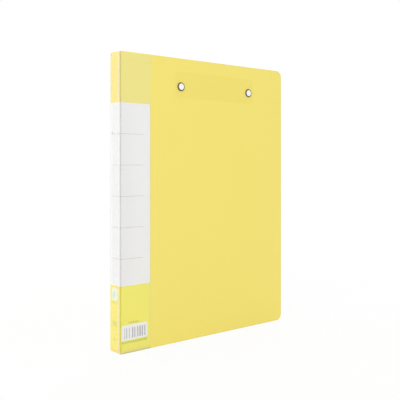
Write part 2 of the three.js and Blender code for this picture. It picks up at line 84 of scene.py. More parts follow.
# Each pair says where a mark on the surface starts and where it is full.
WORN = (0.7 * MM, 0.05 * MM)  # pale wear, inside the cut edges
DEEPENED = (1.3 * MM, 0.3 * MM)  # deeper yellow, inside them too
DARK_LINE_UNDER = (0.1 * MM, -0.1 * MM)  # a dark line along the board's edge, above the pocket's lower edge
DARK_LINE_BESIDE = (0, -0.5 * MM)  # and past its side edge
PLATE_SHOWS = (0.9 * MM, -0.9 * MM)  # painted shade of the steel plate behind, from outside its outline
PLATE_CORNER = 5 * MM  # of that outline as it shows
FOLD_MIDDLE = 9.2 * MM  # of the folds, from the middle of the spine
FOLD_SHADED = (0.6 * MM, 0.15 * MM)  # painted shade in a fold, to both sides of its middle

BOARD_YELLOW = (0.885, 0.754, 0.160, 1)
BOARD_DEEP = (0.845, 0.705, 0.135, 1)
BOARD_WORN = (0.93, 0.87, 0.42, 1)
# a dark line under the pocket, and painted shade in the folds
BOARD_DARK = (0.42, 0.38, 0.13, 1)
BOARD_WARM = (0.95, 0.755, 0.19, 1)

front_low, front_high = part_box("front_cover")
back_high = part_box("back_cover")[1]
spine_low, spine_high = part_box("spine_panel")
plate_low, plate_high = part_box("clip_base_plate")
pocket_low, pocket_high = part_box("pocket_film_front")
rivet_boxes = {side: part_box(f"rivet_{side}") for side in ("left", "right")}
rivet_centres = {
    side: ((low.x + high.x) / 2, (low.z + high.z) / 2)
    for side, (low, high) in rivet_boxes.items()
}


class Wire:
    """A socket in a material's node tree. Arithmetic on it adds Math nodes, node() any other."""

    def __init__(self, tree, socket=None):
        self.tree = tree
        self.socket = socket

    def node(self, kind, settings=None, sockets=None, output=0):
        """A node of that type: its settings first, then a value or a link for each socket."""
        made = self.tree.nodes.new("ShaderNode" + kind)
        for name, value in (settings or {}).items():
            setattr(made, name, value)
        for key, value in (sockets or {}).items():
            self.feed(made.inputs[key], value)
        return Wire(self.tree, made.outputs[output])

    def feed(self, socket, value):
        """Links a wire to a socket, or sets the socket's own value."""
        if isinstance(value, Wire):
            self.tree.links.new(value.socket, socket)
        else:
            socket.default_value = value

    def outputs(self, *names):
        """Wires of the same node's outputs, by name."""
        return [Wire(self.tree, self.socket.node.outputs[name]) for name in names]

    def math(self, operation, *values):
        return self.node("Math", {"operation": operation}, dict(enumerate(values)))

    def __add__(self, other):
        return self.math("ADD", self, other)

    __radd__ = __add__

    def __sub__(self, other):
        return self.math("SUBTRACT", self, other)

    def __rsub__(self, other):
        return self.math("SUBTRACT", other, self)

    def __mul__(self, other):
        return self.math("MULTIPLY", self, other)

    __rmul__ = __mul__

    def __truediv__(self, other):
        return self.math("DIVIDE", self, other)

    def __rtruediv__(self, other):
        return self.math("DIVIDE", other, self)

    def __pow__(self, other):
        return self.math("POWER", self, other)

    def __rpow__(self, other):
        return self.math("POWER", other, self)

    def __abs__(self):
        return self.math("ABSOLUTE", self)

    def above(self, other):
        return self.math("MAXIMUM", self, other)

    def below(self, other):
        return self.math("MINIMUM", self, other)

    def under(self, limit):
        """1 where this wire is less than the limit and 0 elsewhere."""
        return self.math("LESS_THAN", self, limit)

    def floor(self):
        return self.math("FLOOR", self)

    def sine(self):
        return self.math("SINE", self)

    def ease(self, start, full):
        """0 at start, 1 at full, smooth between and level beyond."""
        sockets = {"Value": self, "From Min": start, "From Max": full}
        return self.node("MapRange", {"interpolation_type": "SMOOTHSTEP"}, sockets)

    def tint(self, colour, other):
        """The first colour where this wire is 0 and the other where it is 1."""
        sockets = {0: self, 6: colour, 7: other}
        return self.node("Mix", {"data_type": "RGBA"}, sockets, output=2)

    def stretch(self, factors):
        return self.node("VectorMath", {"operation": "MULTIPLY"}, {0: self, 1: factors})

    def noise(self, scale, detail):
        """Cloudy noise from 0 to 1 on this wire's place, with scale bumps to a metre."""
        sockets = {"Vector": self, "Scale": scale, "Detail": detail}
        return self.node("TexNoise", {}, sockets)

    def bump(self, strength, depth):
        """The surface's direction where this wire is its height, up to that depth in metres."""
        sockets = {"Strength": strength, "Distance": depth, "Height": self}
        return self.node("Bump", {}, sockets)

    def axes(self):
        """The place's x, y and z."""
        return self.node("SeparateXYZ", {}, {0: self}).outputs("X", "Y", "Z")


def new_finish(name):
    """A material with one Principled shader, and the wire of the surface's place in metres."""
    material = bpy.data.materials.new(name)
    material.use_nodes = True
    shader = material.node_tree.nodes["Principled BSDF"]
    place = Wire(material.node_tree).node("TexCoord", output="Object")
    return material, shader, place


def feed_shader(shader, place, **values):
    """Feeds the shader's sockets, named with _ for each space."""
    for name, value in values.items():
        place.feed(shader.inputs[name.replace("_", " ")], value)


def box_distance(across, up, left, right, low, high, corner):
    """Distance outside a rectangle with round corners, negative inside.

    With q the amount by which each coordinate passes the rectangle's core, which is inset by
    the corner radius, it is the length of max(q, 0) plus min(max(q), 0), less the radius.
    """
    past_across = abs(across - (left + right) / 2) - ((right - left) / 2 - corner)
    past_up = abs(up - (low + high) / 2) - ((high - low) / 2 - corner)
    outer = (past_across.above(0) ** 2 + past_up.above(0) ** 2) ** 0.5
    inner = past_across.above(past_up).below(0)
    return outer + inner - corner


def board_finish(name, whitened, fold_shade_depth):
    """Matt yellow plastic with a sand grain, worn pale along its cut edges.

    Below the pocket's foot a dark line runs along the board's lower edge, and the
    stretched spine is a little warmer. From 0 to 1, whitened is how pale the bending has made
    it, and fold_shade_depth is how dark the painted shade in the middle of a fold is.
    """
    material, shader, place = new_finish(name)
    x, y, z = place.axes()
    past_spine = 2 * spine_low.x  # far enough that the folded side doesn't count as an edge
    inside = 0 - box_distance(
        x, z, past_spine, front_high.x, front_low.z, front_high.z, FREE_CORNER
    )
    plate = box_distance(
        x, z, plate_low.x, plate_high.x, plate_low.z, plate_high.z, PLATE_CORNER
    )
    front = y.ease(0.5 * front_low.y, 0.9 * front_low.y)
    cloud = place.noise(14, 3)
    speck = place.noise(1800, 2)
    pebble = place.noise(420, 2)
    streak = place.stretch((60, 60, 3)).noise(4, 3)
    scuff = place.stretch((30, 30, 210)).noise(1, 5).ease(0.66, 0.72) * 0.35
    wear = inside.ease(*WORN) * place.noise(160, 4).ease(0.5, 0.68)
    # The steel plate behind shows through as painted shade.
    deep = inside.ease(*DEEPENED) * 0.5 + plate.ease(*PLATE_SHOWS) * front * 0.55
    deep = deep + cloud * 0.3 + speck * 0.3 + streak * 0.1 - 0.25
    # A dark line along the board's lowest edge under the pocket, up to its side edge.
    dark_line = (z - pocket_low.z).ease(*DARK_LINE_UNDER) * (x - pocket_high.x).ease(*DARK_LINE_BESIDE)
    # Painted shade: a dark line along the middle of each fold.
    board_fold_shade = abs(abs(y) - FOLD_MIDDLE).ease(*FOLD_SHADED) * fold_shade_depth
    colour = deep.tint(BOARD_YELLOW, BOARD_DEEP)
    colour = (dark_line * 0.8).tint(colour, BOARD_DARK)
    colour = x.ease(front_low.x, spine_low.x).tint(colour, BOARD_WARM)
    colour = board_fold_shade.tint(colour, BOARD_DARK)
    pale = (wear * 0.3 + scuff * 0.12 + whitened).below(1)
    feed_shader(
        shader,
        place,
        Base_Color=pale.tint(colour, BOARD_WORN),
        Roughness=0.44 + speck * 0.14 - scuff * 0.3,
        Normal=(speck + pebble * 0.8 - scuff * 0.6).bump(0.5, 0.1 * MM),
    )
    return material


def new_piece(name, mesh, material):
    """Puts a mesh into the scene at the origin, smooth but for its sharp edges."""
    mesh.materials.clear()
    mesh.materials.append(material)
    mesh.shade_smooth()
    mesh.set_sharp_from_angle(angle=math.radians(SHARP_DEGREES))
    piece = bpy.data.objects.new(name, mesh)
    bpy.context.scene.collection.objects.link(piece)
    return piece


def put_mesh(name, points, faces, material):
    """A new piece with its place in its points, in metres."""
    mesh = bpy.data.meshes.new(name)
    mesh.from_pydata(np.asarray(points).tolist(), [], faces)
    return new_piece(name, mesh, material)


def grid_faces(rows, columns, ring=False):
    """Four-sided faces between neighbours of a grid; a ring also joins last column to first."""
    row, column = np.meshgrid(
        np.arange(rows - 1), np.arange(columns if ring else columns - 1), indexing="ij"
    )
    onward = (column + 1) % columns
    corners = [
        row * columns + column,
        row * columns + onward,
        (row + 1) * columns + onward,
        (row + 1) * columns + column,
    ]
    return np.stack(corners, -1).reshape(-1, 4).tolist()


def arc(centre_u, centre_v, radius, start, end, steps):
    """Points on an arc in two coordinates: centre plus radius times (cos, sin), in degrees."""
    angle = np.radians(np.linspace(start, end, steps + 1))
    return np.stack(
        [centre_u + radius * np.cos(angle), centre_v + radius * np.sin(angle)], -1
    )


def panel_outline(left, right, low, high, corner, level):
    """A panel's outline, anticlockwise from its right side at a level, and its inward normals.

    The right-hand corners are quarter arcs of the corner radius and the left-hand ones are
    square. Each point's normal leans inwards on both axes that it lies at the end of, and
    less far along the left-hand side, where a crease follows.
    """
    top = arc(right - corner, high - corner, corner, 0, 90, CORNER_STEPS)
    foot = arc(right - corner, low + corner, corner, -90, 0, CORNER_STEPS)
    left_side = np.array([[left, high], [left, level], [left, low]])
    points = np.concatenate([[[right, level]], top, left_side, foot])
    turn_top = -arc(0, 0, 1, 0, 90, CORNER_STEPS)
    turn_foot = -arc(0, 0, 1, -90, 0, CORNER_STEPS)
    crisp = CREASE_EDGE_SHARE
    turn_left = np.array([[crisp, -1], [crisp, 0], [crisp, 1]])
    normals = np.concatenate([[[-1, 0]], turn_top, turn_left, turn_foot])
    return points, normals


def edge_profile(thickness, edge, margin):
    """(inset, depth) pairs round a board's edge: face, quarter arc, side, quarter arc, face."""
    angle = np.radians(np.linspace(0, 90, EDGE_STEPS + 1))
    inset = edge * (1 - np.sin(angle))
    depth = edge * (1 - np.cos(angle))
    near = np.stack([inset, depth], -1)
    far = np.stack([inset[::-1], thickness - depth[::-1]], -1)
    return np.concatenate([[[margin, 0]], near, far, [[margin, thickness]]])


def cut_panel(outline, normals, profile, place, holes=(), level=0):
    """A panel's points and faces: the edge profile carried round the outline, and two faces.

    Point (i, k) is outline i plus inset k along normal i, at depth k. Round holes at one level
    split each face into an upper and a lower half. place turns (across, up, depth) into x, y, z.
    """
    count, steps = len(outline), len(profile)
    flat = outline[:, None, :] + profile[None, :, :1] * normals[:, None, :]
    depth = np.broadcast_to(profile[None, :, 1:], (count, steps, 1))
    points = [np.concatenate([flat, depth], -1).reshape(-1, 3)]
    faces = (np.array(grid_faces(count + 1, steps)) % (count * steps)).tolist()
    rims = []
    base = count * steps
    for centre, radius in holes:
        ring = arc(centre, level, radius, 0, 360, HOLE_STEPS)[:-1]
        for face_depth in (0, profile[-1, 1]):
            points.append(np.column_stack([ring, np.full(HOLE_STEPS, face_depth)]))
        near = base + np.arange(HOLE_STEPS)
        far = near + HOLE_STEPS
        wall = np.stack([near, far, np.roll(far, -1), np.roll(near, -1)], -1)
        faces += wall[:, ::-1].tolist()
        rims.append((near, far))
        base += 2 * HOLE_STEPS
    half = HOLE_STEPS // 2
    left_stop = CORNER_STEPS + 3  # the outline's point on its left side at the level
    for face, step in ((0, 0), (1, steps - 1)):
        border = np.arange(count) * steps + step
        arcs_up = [rim[face][half::-1] for rim in rims]
        arcs_down = [np.append(rim[face][0], rim[face][:half - 1:-1]) for rim in rims]
        loops = [border]
        if rims:
            upper = np.concatenate([border[:left_stop + 1], *arcs_up])
            lower = np.concatenate([border[left_stop:], border[:1], *arcs_down[::-1]])
            loops = [upper, lower]
        faces += [(loop[::-1] if face else loop).tolist() for loop in loops]
    return place(np.concatenate(points)), faces


yellow_board = board_finish("yellow_board", 0, 0)
board_profile = edge_profile(front_high.y - front_low.y, EDGE_ROUND, FACE_MARGIN)
rivet_level = rivet_centres["left"][1]
cover_outline, cover_normals = panel_outline(
    front_low.x, front_high.x, front_low.z, front_high.z, FREE_CORNER, rivet_level
)

points, faces = cut_panel(
    cover_outline,
    cover_normals,
    board_profile,
    lambda p: np.column_stack([p[:, 0], front_low.y + p[:, 2], p[:, 1]]),
    [(centre[0], RIVET_HOLE) for centre in rivet_centres.values()],
    rivet_level,
)
front_board = put_mesh("front_board", points, faces, yellow_board)
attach(front_board, "front_cover")
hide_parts("front_cover")

points, faces = cut_panel(
    cover_outline,
    cover_normals,
    board_profile,
    lambda p: np.column_stack([p[:, 0], back_high.y - p[:, 2], p[:, 1]]),
)
mirrored = [face[::-1] for face in faces]
back_board = put_mesh("back_board", points, mirrored, yellow_board)
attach(back_board, "back_cover")
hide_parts("back_cover")

# Spine panel
# The narrow middle panel of the same board, between the two pressed creases.
# Its ends are cut with the covers, and its long edges run into the creases.
spine_outline = np.array(
    [
        [-spine_low.y, spine_low.z],
        [-spine_low.y, spine_high.z],
        [-spine_high.y, spine_high.z],
        [-spine_high.y, spine_low.z],
    ]
)
spine_normals = np.array([[-1, 1], [-1, -1], [1, -1], [1, 1]]) * (CREASE_EDGE_SHARE, 1)
points, faces = cut_panel(
    spine_outline,
    spine_normals,
    board_profile,
    lambda p: np.column_stack([spine_low.x + p[:, 2], -p[:, 0], p[:, 1]]),
)
spine_board = put_mesh("spine_board", points, faces, yellow_board)
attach(spine_board, "spine")
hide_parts("spine_panel")

# Creases
# Where the board folds, a hot blade has pressed it to a thin web with two fine grooves.
# The bending whitens the plastic a little along the web, and painted shade darkens the middle of
# the fold.
WEB = 0.4 * MM
WEB_GROOVE = 0.09 * MM  # deepest
GROOVE_PLACES = (18, 72)  # degrees of the bend
GROOVE_WIDTH = 7  # degrees
WEB_STEPS = 36
WEB_END_HEIGHTS = np.array([0, EDGE_ROUND / 3, EDGE_ROUND])  # from either end of the web
WEB_END_SHARES = np.array([0.985, 0.996, 1])  # of its full section there
WEB_WHITENED = 0.1
# how dark the web's painted shade is, from 0 to 1
WEB_FOLD_SHADE = 0.5
SIDES = (("front", -1), ("back", 1))

fold_x = front_low.x
fold_y = spine_high.y
board_round = fold_x - spine_low.x


def bend_line(radii, start, end, side, steps):
    """Points in (x, y) on an arc round a crease's bend, in degrees from spine 0 to cover 90."""
    turn = np.radians(np.linspace(start, end, steps + 1))
    return np.stack([fold_x - radii * np.cos(turn), side * (fold_y + radii * np.sin(turn))], -1)


def carried_up(section, levels, shares):
    """The section at each of the levels, shrunk towards its middle to a share of itself."""
    middle = section.mean(0)
    drawn = middle + (section[None, :, :] - middle) * shares[:, None, None]
    height = np.broadcast_to(levels[:, None, None], drawn.shape[:2] + (1,))
    points = np.concatenate([drawn, height], -1).reshape(-1, 3)
    count = len(section)
    faces = grid_faces(len(levels), count, ring=True)
    faces.append(np.arange(count)[::-1].tolist())
    faces.append((np.arange(count) + count * (len(levels) - 1)).tolist())
    return points, faces


def blend_fold(piece, side):
    """Bakes a piece's place into its points, alike on either side."""
    if side < 0:
        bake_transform(piece)
    else:
        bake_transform(piece)


crease_whitened_and_shaded = board_finish("crease_whitened_and_shaded", WEB_WHITENED, WEB_FOLD_SHADE)
degrees = np.linspace(0, 90, WEB_STEPS + 1)
grooves = sum(np.exp(-(((degrees - middle) / GROOVE_WIDTH) ** 2)) for middle in GROOVE_PLACES)
web_levels = np.concatenate(
    [spine_low.z + WEB_END_HEIGHTS, spine_high.z - WEB_END_HEIGHTS[::-1]]
)
web_shares = np.concatenate([WEB_END_SHARES, WEB_END_SHARES[::-1]])
for name, side in SIDES:
    outer = bend_line(board_round - WEB_GROOVE * grooves, 0, 90, side, WEB_STEPS)
    inner = bend_line(board_round - WEB, 90, 0, side, WEB_STEPS)
    section = np.concatenate([outer, inner])[::-side]
    points, faces = carried_up(section, web_levels, web_shares)
    web = put_mesh(f"{name}_crease_web", points, faces, crease_whitened_and_shaded)
    blend_fold(web, side)
    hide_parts(f"crease_{name}")

# Label card
# One creased card, pushed into the pocket from above. It is white with thin ruled lines, and
# printed with a yellow foot, a block of plain bars and a few green rules. It is split here at
# its two folds, so that each of its three panels slides with the panel that it lies on.
CARD = 0.25 * MM
CARD_CORNER = 1.2 * MM
CARD_CORNER_TURN = 89.9  # degrees, just short of where its slope is endless
SLIT = 1.7  # degrees, half of the gap between two panels at a fold
CARD_BEND_STEPS = 10
CARD_FLAT_STEPS = 13
CARD_CORNER_STEPS = 8
CARD_ROWS = 25

CARD_FRONT = (-9.5 * MM, -10 * MM)  # in y, where the front panel starts
CARD_SPINE = (0.2 * MM, -0.02 * MM)  # past the spine's face, where the spine's panel does
CARD_FOLD_SHADED = (24 * MM, 0.5 * MM)  # from the spine's face, where painted shade greys the front beside the fold
CARD_HIGHLIGHT_MIDDLE = 6.8 * MM  # from the middle of the spine, where a painted highlight pales the card
CARD_HIGHLIGHT_BAND = (1.1 * MM, 0.3 * MM)  # to both sides of that
CARD_HIGHLIGHT_OUT = (1 * MM, 0)  # from the spine's face
PRINT_TOP = 69.3 * MM
PRINT_EDGE = 0.15 * MM  # half of its soft edge

RULE_TOP = 225.4 * MM
RULE_PITCH = 32.1 * MM
RULE_COUNT = 5
RULE_INK = (0.32 * MM, 0.14 * MM)  # from a ruled line's middle
RULE_CLEAR = (3 * MM, 2 * MM)  # past the first and the last line, where no other is drawn
RULE_END = 28.3 * MM  # from the spine's face
RULE_START = 5 * MM  # from the middle of the spine, towards the back
RULE_FADE = 0.3 * MM
BAR_PITCH = 0.37 * MM
BAR_GROUP = 3.3 * MM

CARD_WHITE = (0.878, 0.846, 0.918, 1)
CARD_SHADE = (0.838, 0.803, 0.882, 1)
# painted highlight on the spine's side of the fold
CARD_HIGHLIGHT = (0.99, 0.97, 1.0, 1)
PRINT_YELLOW = (0.905, 0.81, 0.025, 1)
PRINT_WARM = (0.958, 0.783, 0.124, 1)
PRINT_GREEN = (0.45, 0.52, 0.01, 1)
RULE_GREY = (0.45, 0.44, 0.44, 1)
BAR_DARK = (0.17, 0.12, 0.24, 1)
PATCH_PALE = (0.84, 0.87, 0.74, 1)
PATCH_GREEN = (0.55, 0.70, 0.50, 1)


def mm(*sizes):
    """Sizes given in millimetres, in metres."""
    return tuple(size * MM for size in sizes)


# Printed marks: left, right, low, high, corner radius and half of the soft edge. Across, they
# are measured from the spine's face on the front and from the spine's middle on the spine.
BAR_BOX = mm(1, 33.1, 13.5, 29, 2, 0.15)
BAR_FIELD = mm(4.2, 30.4, 15.2, 26, 0.1, 0.05)
FRONT_RULES = (mm(9.5, 22.5, 30.4, 32, 0.5, 0.15), mm(1, 32.8, 10.1, 12.3, 0.7, 0.15))
SPINE_RULES = (
    mm(-3, 5, 50.6, 52.6, 0.6, 0.5),
    mm(-4, 5, 27, 32.4, 0.6, 0.5),
    mm(-4, 4, 12.4, 14.2, 0.6, 0.5),
)
SPINE_TICK = mm(3.5, 6.5, 225.2, 227.6, 0.4, 0.15)
SPINE_PATCH = mm(-4.5, 6, 53.5, 66.5, 3, 0.8)
PATCH_CORE = mm(-0.5, 4, 57, 63, 2, 1.2)


def mark(across, up, left, right, low, high, corner, soft):
    """A printed mark: 1 inside a rectangle with round corners and 0 outside."""
    return box_distance(across, up, left, right, low, high, corner).ease(soft, -soft)


def ruled_lines(out, y, z):
    """Thin level lines at an even pitch, from the spine's back half to short of the edge."""
    pitches = (z - (RULE_TOP + RULE_PITCH / 2)) / RULE_PITCH
    from_line = abs(pitches - pitches.floor() - 0.5) * RULE_PITCH
    lowest = RULE_TOP - (RULE_COUNT - 1) * RULE_PITCH
    drawn = (z - RULE_TOP).ease(*RULE_CLEAR) * (lowest - z).ease(*RULE_CLEAR)
    drawn = drawn * out.ease(RULE_END, RULE_END - RULE_FADE)
    drawn = drawn * y.ease(RULE_START, RULE_START - RULE_FADE)
    return from_line.ease(*RULE_INK) * drawn


def plain_bars(out, z):
    """Plain upright bars, more crowded to the right.

    White noise draws a number for each narrow column. The column is inked where its number is
    under a share that rises to the right and waves from group to group.
    """
    column = (out / BAR_PITCH).floor()
    number = column.node("TexWhiteNoise", {"noise_dimensions": "1D"}, {"W": column})
    rightward = out.ease(BAR_FIELD[0], BAR_FIELD[1])
    wave = (out * (2 * math.pi / BAR_GROUP)).sine()
    share = rightward * 0.26 + 0.17 + wave * (rightward * 0.3 + 0.06)
    return number.under(share) * mark(out, z, *BAR_FIELD)


def card_finish():
    """Smooth card with a faint paper fibre, ruled and printed by masks on its place."""
    material, shader, place = new_finish("label_card")
    x, y, z = place.axes()
    out = x - spine_low.x
    front = y.ease(*CARD_FRONT)
    spine = out.ease(*CARD_SPINE) * (1 - front)
    fibre = place.stretch((1, 1, 0.35)).noise(900, 4)
    cloud = place.noise(25, 3)
    # Painted shade on the front beside the fold.
    card_fold_shade = out.ease(*CARD_FOLD_SHADED) * front * 0.9
    # Painted highlight on the spine's side of each fold.
    card_highlight = abs(abs(y) - CARD_HIGHLIGHT_MIDDLE).ease(*CARD_HIGHLIGHT_BAND) * out.ease(*CARD_HIGHLIGHT_OUT)
    printed = z.ease(PRINT_TOP + PRINT_EDGE, PRINT_TOP - PRINT_EDGE)
    ink = (fibre * 0.3 + spine * 0.7).tint(PRINT_YELLOW, PRINT_WARM)
    colour = (fibre * 0.5 + cloud * 0.6 - 0.3 + card_fold_shade).tint(CARD_WHITE, CARD_SHADE)
    colour = card_highlight.tint(colour, CARD_HIGHLIGHT)
    colour = printed.tint(colour, ink)
    colour = (ruled_lines(out, y, z) * 0.8).tint(colour, RULE_GREY)

    colour = (mark(out, z, *BAR_BOX) * front).tint(colour, CARD_WHITE)
    colour = (plain_bars(out, z) * front * 0.9).tint(colour, BAR_DARK)
    patch = (mark(y, z, *PATCH_CORE) * spine * 0.6).tint(PATCH_PALE, PATCH_GREEN)
    colour = (mark(y, z, *SPINE_PATCH) * spine).tint(colour, patch)
    front_rules = sum(mark(out, z, *rule) for rule in FRONT_RULES) * front
    spine_rules = sum(mark(y, z, *rule) for rule in SPINE_RULES) * spine * 0.5
    colour = ((front_rules + spine_rules).below(1) * 0.7).tint(colour, PRINT_GREEN)
    colour = (mark(y, z, *SPINE_TICK) * spine * 0.5).tint(colour, RULE_GREY)
    feed_shader(
        shader,
        place,
        Base_Color=colour,
        Roughness=0.72 - printed * 0.2 + fibre * 0.1,
        Normal=fibre.bump(0.25, 0.03 * MM),
    )
    return material


def bent_strip(line, low, high, corner):
    """The middle of a thin sheet that follows a line in (x, y) and stands from low to high.

    u runs along the line by its length and v up the sheet. Within the corner radius of the
    line's far end, the sheet's two ends draw in on a quarter circle.
    """
    run = np.append(0, np.cumsum(np.linalg.norm(np.diff(line, axis=0), axis=1)))
    past = np.clip(run - (run[-1] - corner), 0, corner)
    drawn = corner - np.sqrt(corner**2 - past**2)
    share = np.linspace(0, 1, CARD_ROWS)[:, None]
    height = low + drawn[None, :] + share * (high - low - 2 * drawn[None, :])
    flat = np.broadcast_to(line[None, :, :], height.shape + (2,))
    return np.concatenate([flat, height[..., None]], -1)


def walled(middle, thickness):
    """A thin wall: a grid of points moved half the thickness both ways along its normals.

    middle holds rows x columns points. Its normals are the cross products of its slopes
    along the columns and the rows, and a rim of faces closes its border.
    """
    normal = np.cross(np.gradient(middle, axis=1), np.gradient(middle, axis=0))
    normal *= thickness / 2 / np.linalg.norm(normal, axis=-1, keepdims=True)
    rows, columns = middle.shape[:2]
    count = rows * columns
    points = np.concatenate([middle + normal, middle - normal]).reshape(-1, 3)
    near = grid_faces(rows, columns)
    far = (np.array(near)[:, ::-1] + count).tolist()
    index = np.arange(count).reshape(rows, columns)
    border = np.concatenate(
        [index[0, :-1], index[:-1, -1], index[-1, :0:-1], index[:0:-1, 0]]
    )
    onward = np.roll(border, -1)
    rim = np.stack([border + count, onward + count, onward, border], -1).tolist()
    return points, near + far + rim


label_card = card_finish()
card_low, card_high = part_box("label_card_front")
card_round = board_round + front_low.y - card_low.y - CARD / 2  # middle of the card, at a bend
corner_turn = np.radians(np.linspace(0, CARD_CORNER_TURN, CARD_CORNER_STEPS + 1))[1:]
flat_run = np.append(
    np.linspace(fold_x, card_high.x - CARD_CORNER, CARD_FLAT_STEPS + 1)[1:],
    card_high.x - CARD_CORNER * (1 - np.sin(corner_turn)),
)
for name, side in SIDES:
    bend = bend_line(card_round, 45 + SLIT, 90, side, CARD_BEND_STEPS)
    flat = np.stack([flat_run, np.full(len(flat_run), side * (fold_y + card_round))], -1)
    strip = bent_strip(np.concatenate([bend, flat]), card_low.z, card_high.z, CARD_CORNER)
    points, faces = walled(strip, CARD)
    card = put_mesh(f"card_{name}_panel", points, faces, label_card)
    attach(card, f"label_card_{name}")
    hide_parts(f"label_card_{name}")

back_bend = bend_line(card_round, 45 - SLIT, 0, 1, CARD_BEND_STEPS)
front_bend = bend_line(card_round, 0, 45 - SLIT, -1, CARD_BEND_STEPS)
strip = bent_strip(np.concatenate([back_bend, front_bend]), card_low.z, card_high.z, 0)
points, faces = walled(strip, CARD)
card = put_mesh("card_spine_panel", points, faces, label_card)
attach(card, "label_card_spine")
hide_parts("label_card_spine")

# Label pocket
# A clear soft film over the card, wrapped round the spine from one cover to the other and
# welded to the board down both sides and along the foot. Its mouth at the top stays open.
FILM = 0.15 * MM
FILM_LIFT = 0.425 * MM  # middle of the film off the board, over the card
WELD_LIFT = 0.14 * MM  # and where it is welded down
WELD_RIB = 0.035 * MM  # height of the side weld's ribs
WELD_PITCH = 1.6 * MM
SIDE_WELD = (1.05 * MM, 0.3 * MM)  # from the film's side edge, where the weld starts, is full
FOOT_WELD = (2.25 * MM, 1.9 * MM)  # and above its lower edge

SAG = 0.03 * MM  # of the empty pocket above the card, which leaves the card room to slide
SAG_UP = (2 * MM, 14 * MM)  # above the card, where the sag starts and is full
SAG_NEAR = (2 * MM, 9 * MM)  # from the spine's face
SAG_FAR = (3 * MM, 9 * MM)  # from the film's side edge
RIPPLE_UP = 6.1 * MM  # a ripple's length over two pi
RIPPLE_SLANT = (3.3 * MM, 9 * MM)  # and a slanting one's, outwards and up

CREASE_SHADE_ROUND = (0.28 * MM, 1 * MM)  # past the cover's stretch, where painted shade darkens the film at a crease
CREASE_SHADE_SPINE = (0, 0.4 * MM)  # and past the spine's
FILM_HIGHLIGHT_MIDDLE = 6.6 * MM  # of the painted highlight's band, from the middle of the spine
FILM_HIGHLIGHT_BAND = (1.4 * MM, 0)  # to both sides of that

FOOT_ROWS = 10
PLAIN_ROWS_START = 8 * MM
PLAIN_ROWS = 60
COVER_COLUMNS = 16
WELD_COLUMNS = 5
EDGE_COLUMNS = 4
SPINE_COLUMNS = 20
FOLD_STEPS = 18

FILM_TINT = (0.89, 0.99, 0.76, 1)
FILM_CLOUD = (0.90, 0.97, 0.76, 1)
# painted shade in the creases
FILM_CREASE_SHADE = (0.34, 0.35, 0.17, 1)
# painted highlight beside the creases
FILM_HIGHLIGHT = (1.0, 1.0, 1.0, 1)


def film_finish():
    """Clear film: mostly see-through, and cloudier where it is welded.

    It carries painted shade along both creases, the front one more than the back, and a painted
    highlight beside them on the spine's side. It has hairline scratches.
    """
    material, shader, place = new_finish("clear_film")
    x, y, z = place.axes()
    weld = (pocket_high.x - x).ease(*SIDE_WELD).above((z - pocket_low.z).ease(*FOOT_WELD))
    haze = place.noise(40, 3)
    hair = place.stretch((25, 25, 320)).noise(1, 4).ease(0.68, 0.71)
    hair = hair + place.stretch((260, 260, 9)).noise(1, 4).ease(0.69, 0.72)
    # Painted shade along both creases, stronger on the front one.
    front_weight = y.ease(fold_y, -fold_y) * 0.85 + 0.15
    past_fold = (fold_x - x).ease(*CREASE_SHADE_ROUND) * front_weight
    film_crease_shade = past_fold * (abs(y) - fold_y).ease(*CREASE_SHADE_SPINE)
    # Painted highlight beside each crease, on the spine's side.
    film_highlight = past_fold * abs(abs(y) - FILM_HIGHLIGHT_MIDDLE).ease(*FILM_HIGHLIGHT_BAND)
    colour = (weld * 0.7 + hair * 0.2).below(1).tint(FILM_TINT, FILM_CLOUD)
    colour = film_highlight.tint(colour, FILM_HIGHLIGHT)
    colour = film_crease_shade.tint(colour, FILM_CREASE_SHADE)
    feed_shader(
        shader,
        place,
        Base_Color=colour,
        Roughness=0.16 + haze * 0.1 + hair * 0.15,
        Alpha=0.085 + haze * 0.02 + weld * 0.01 + hair * 0.03 + film_crease_shade * 0.01 + film_highlight * 0.28,
        Normal=(haze + hair * 0.2).bump(0.3, 0.05 * MM),
    )
    return material


def eased(value, start, full):
    """Smooth step: 0 at start, 1 at full, three t squared less two t cubed between."""
    t = np.clip((value - start) / (full - start), 0, 1)
    return t * t * (3 - 2 * t)


def film_lift(out, up):
    """The middle of the film off the board, at a distance from the spine and a height.

    It is the full lift over the card, falling in smooth steps to the weld's along the side
    and the foot, plus fine ribs on the side weld and a shallow sag where no card lies under it.
    The ribs are a cosine of the height, and two sines ripple the sag.
    """
    inwards = pocket_high.x - spine_low.x - out
    side = eased(inwards, *SIDE_WELD)
    foot = eased(up - pocket_low.z, *FOOT_WELD)
    rib = WELD_RIB * side * (1 - foot) * (0.5 + 0.5 * np.cos(2 * np.pi * up / WELD_PITCH))
    sag = SAG * eased(up - card_high.z, *SAG_UP) * eased(out, *SAG_NEAR)
    sag = sag * eased(inwards, *SAG_FAR)
    slant = out / RIPPLE_SLANT[0] + up / RIPPLE_SLANT[1]
    wave = 0.5 + 0.3 * np.sin(up / RIPPLE_UP) + 0.2 * np.sin(slant)
    return FILM_LIFT + (WELD_LIFT - FILM_LIFT) * np.maximum(side, foot) + rib - sag * wave


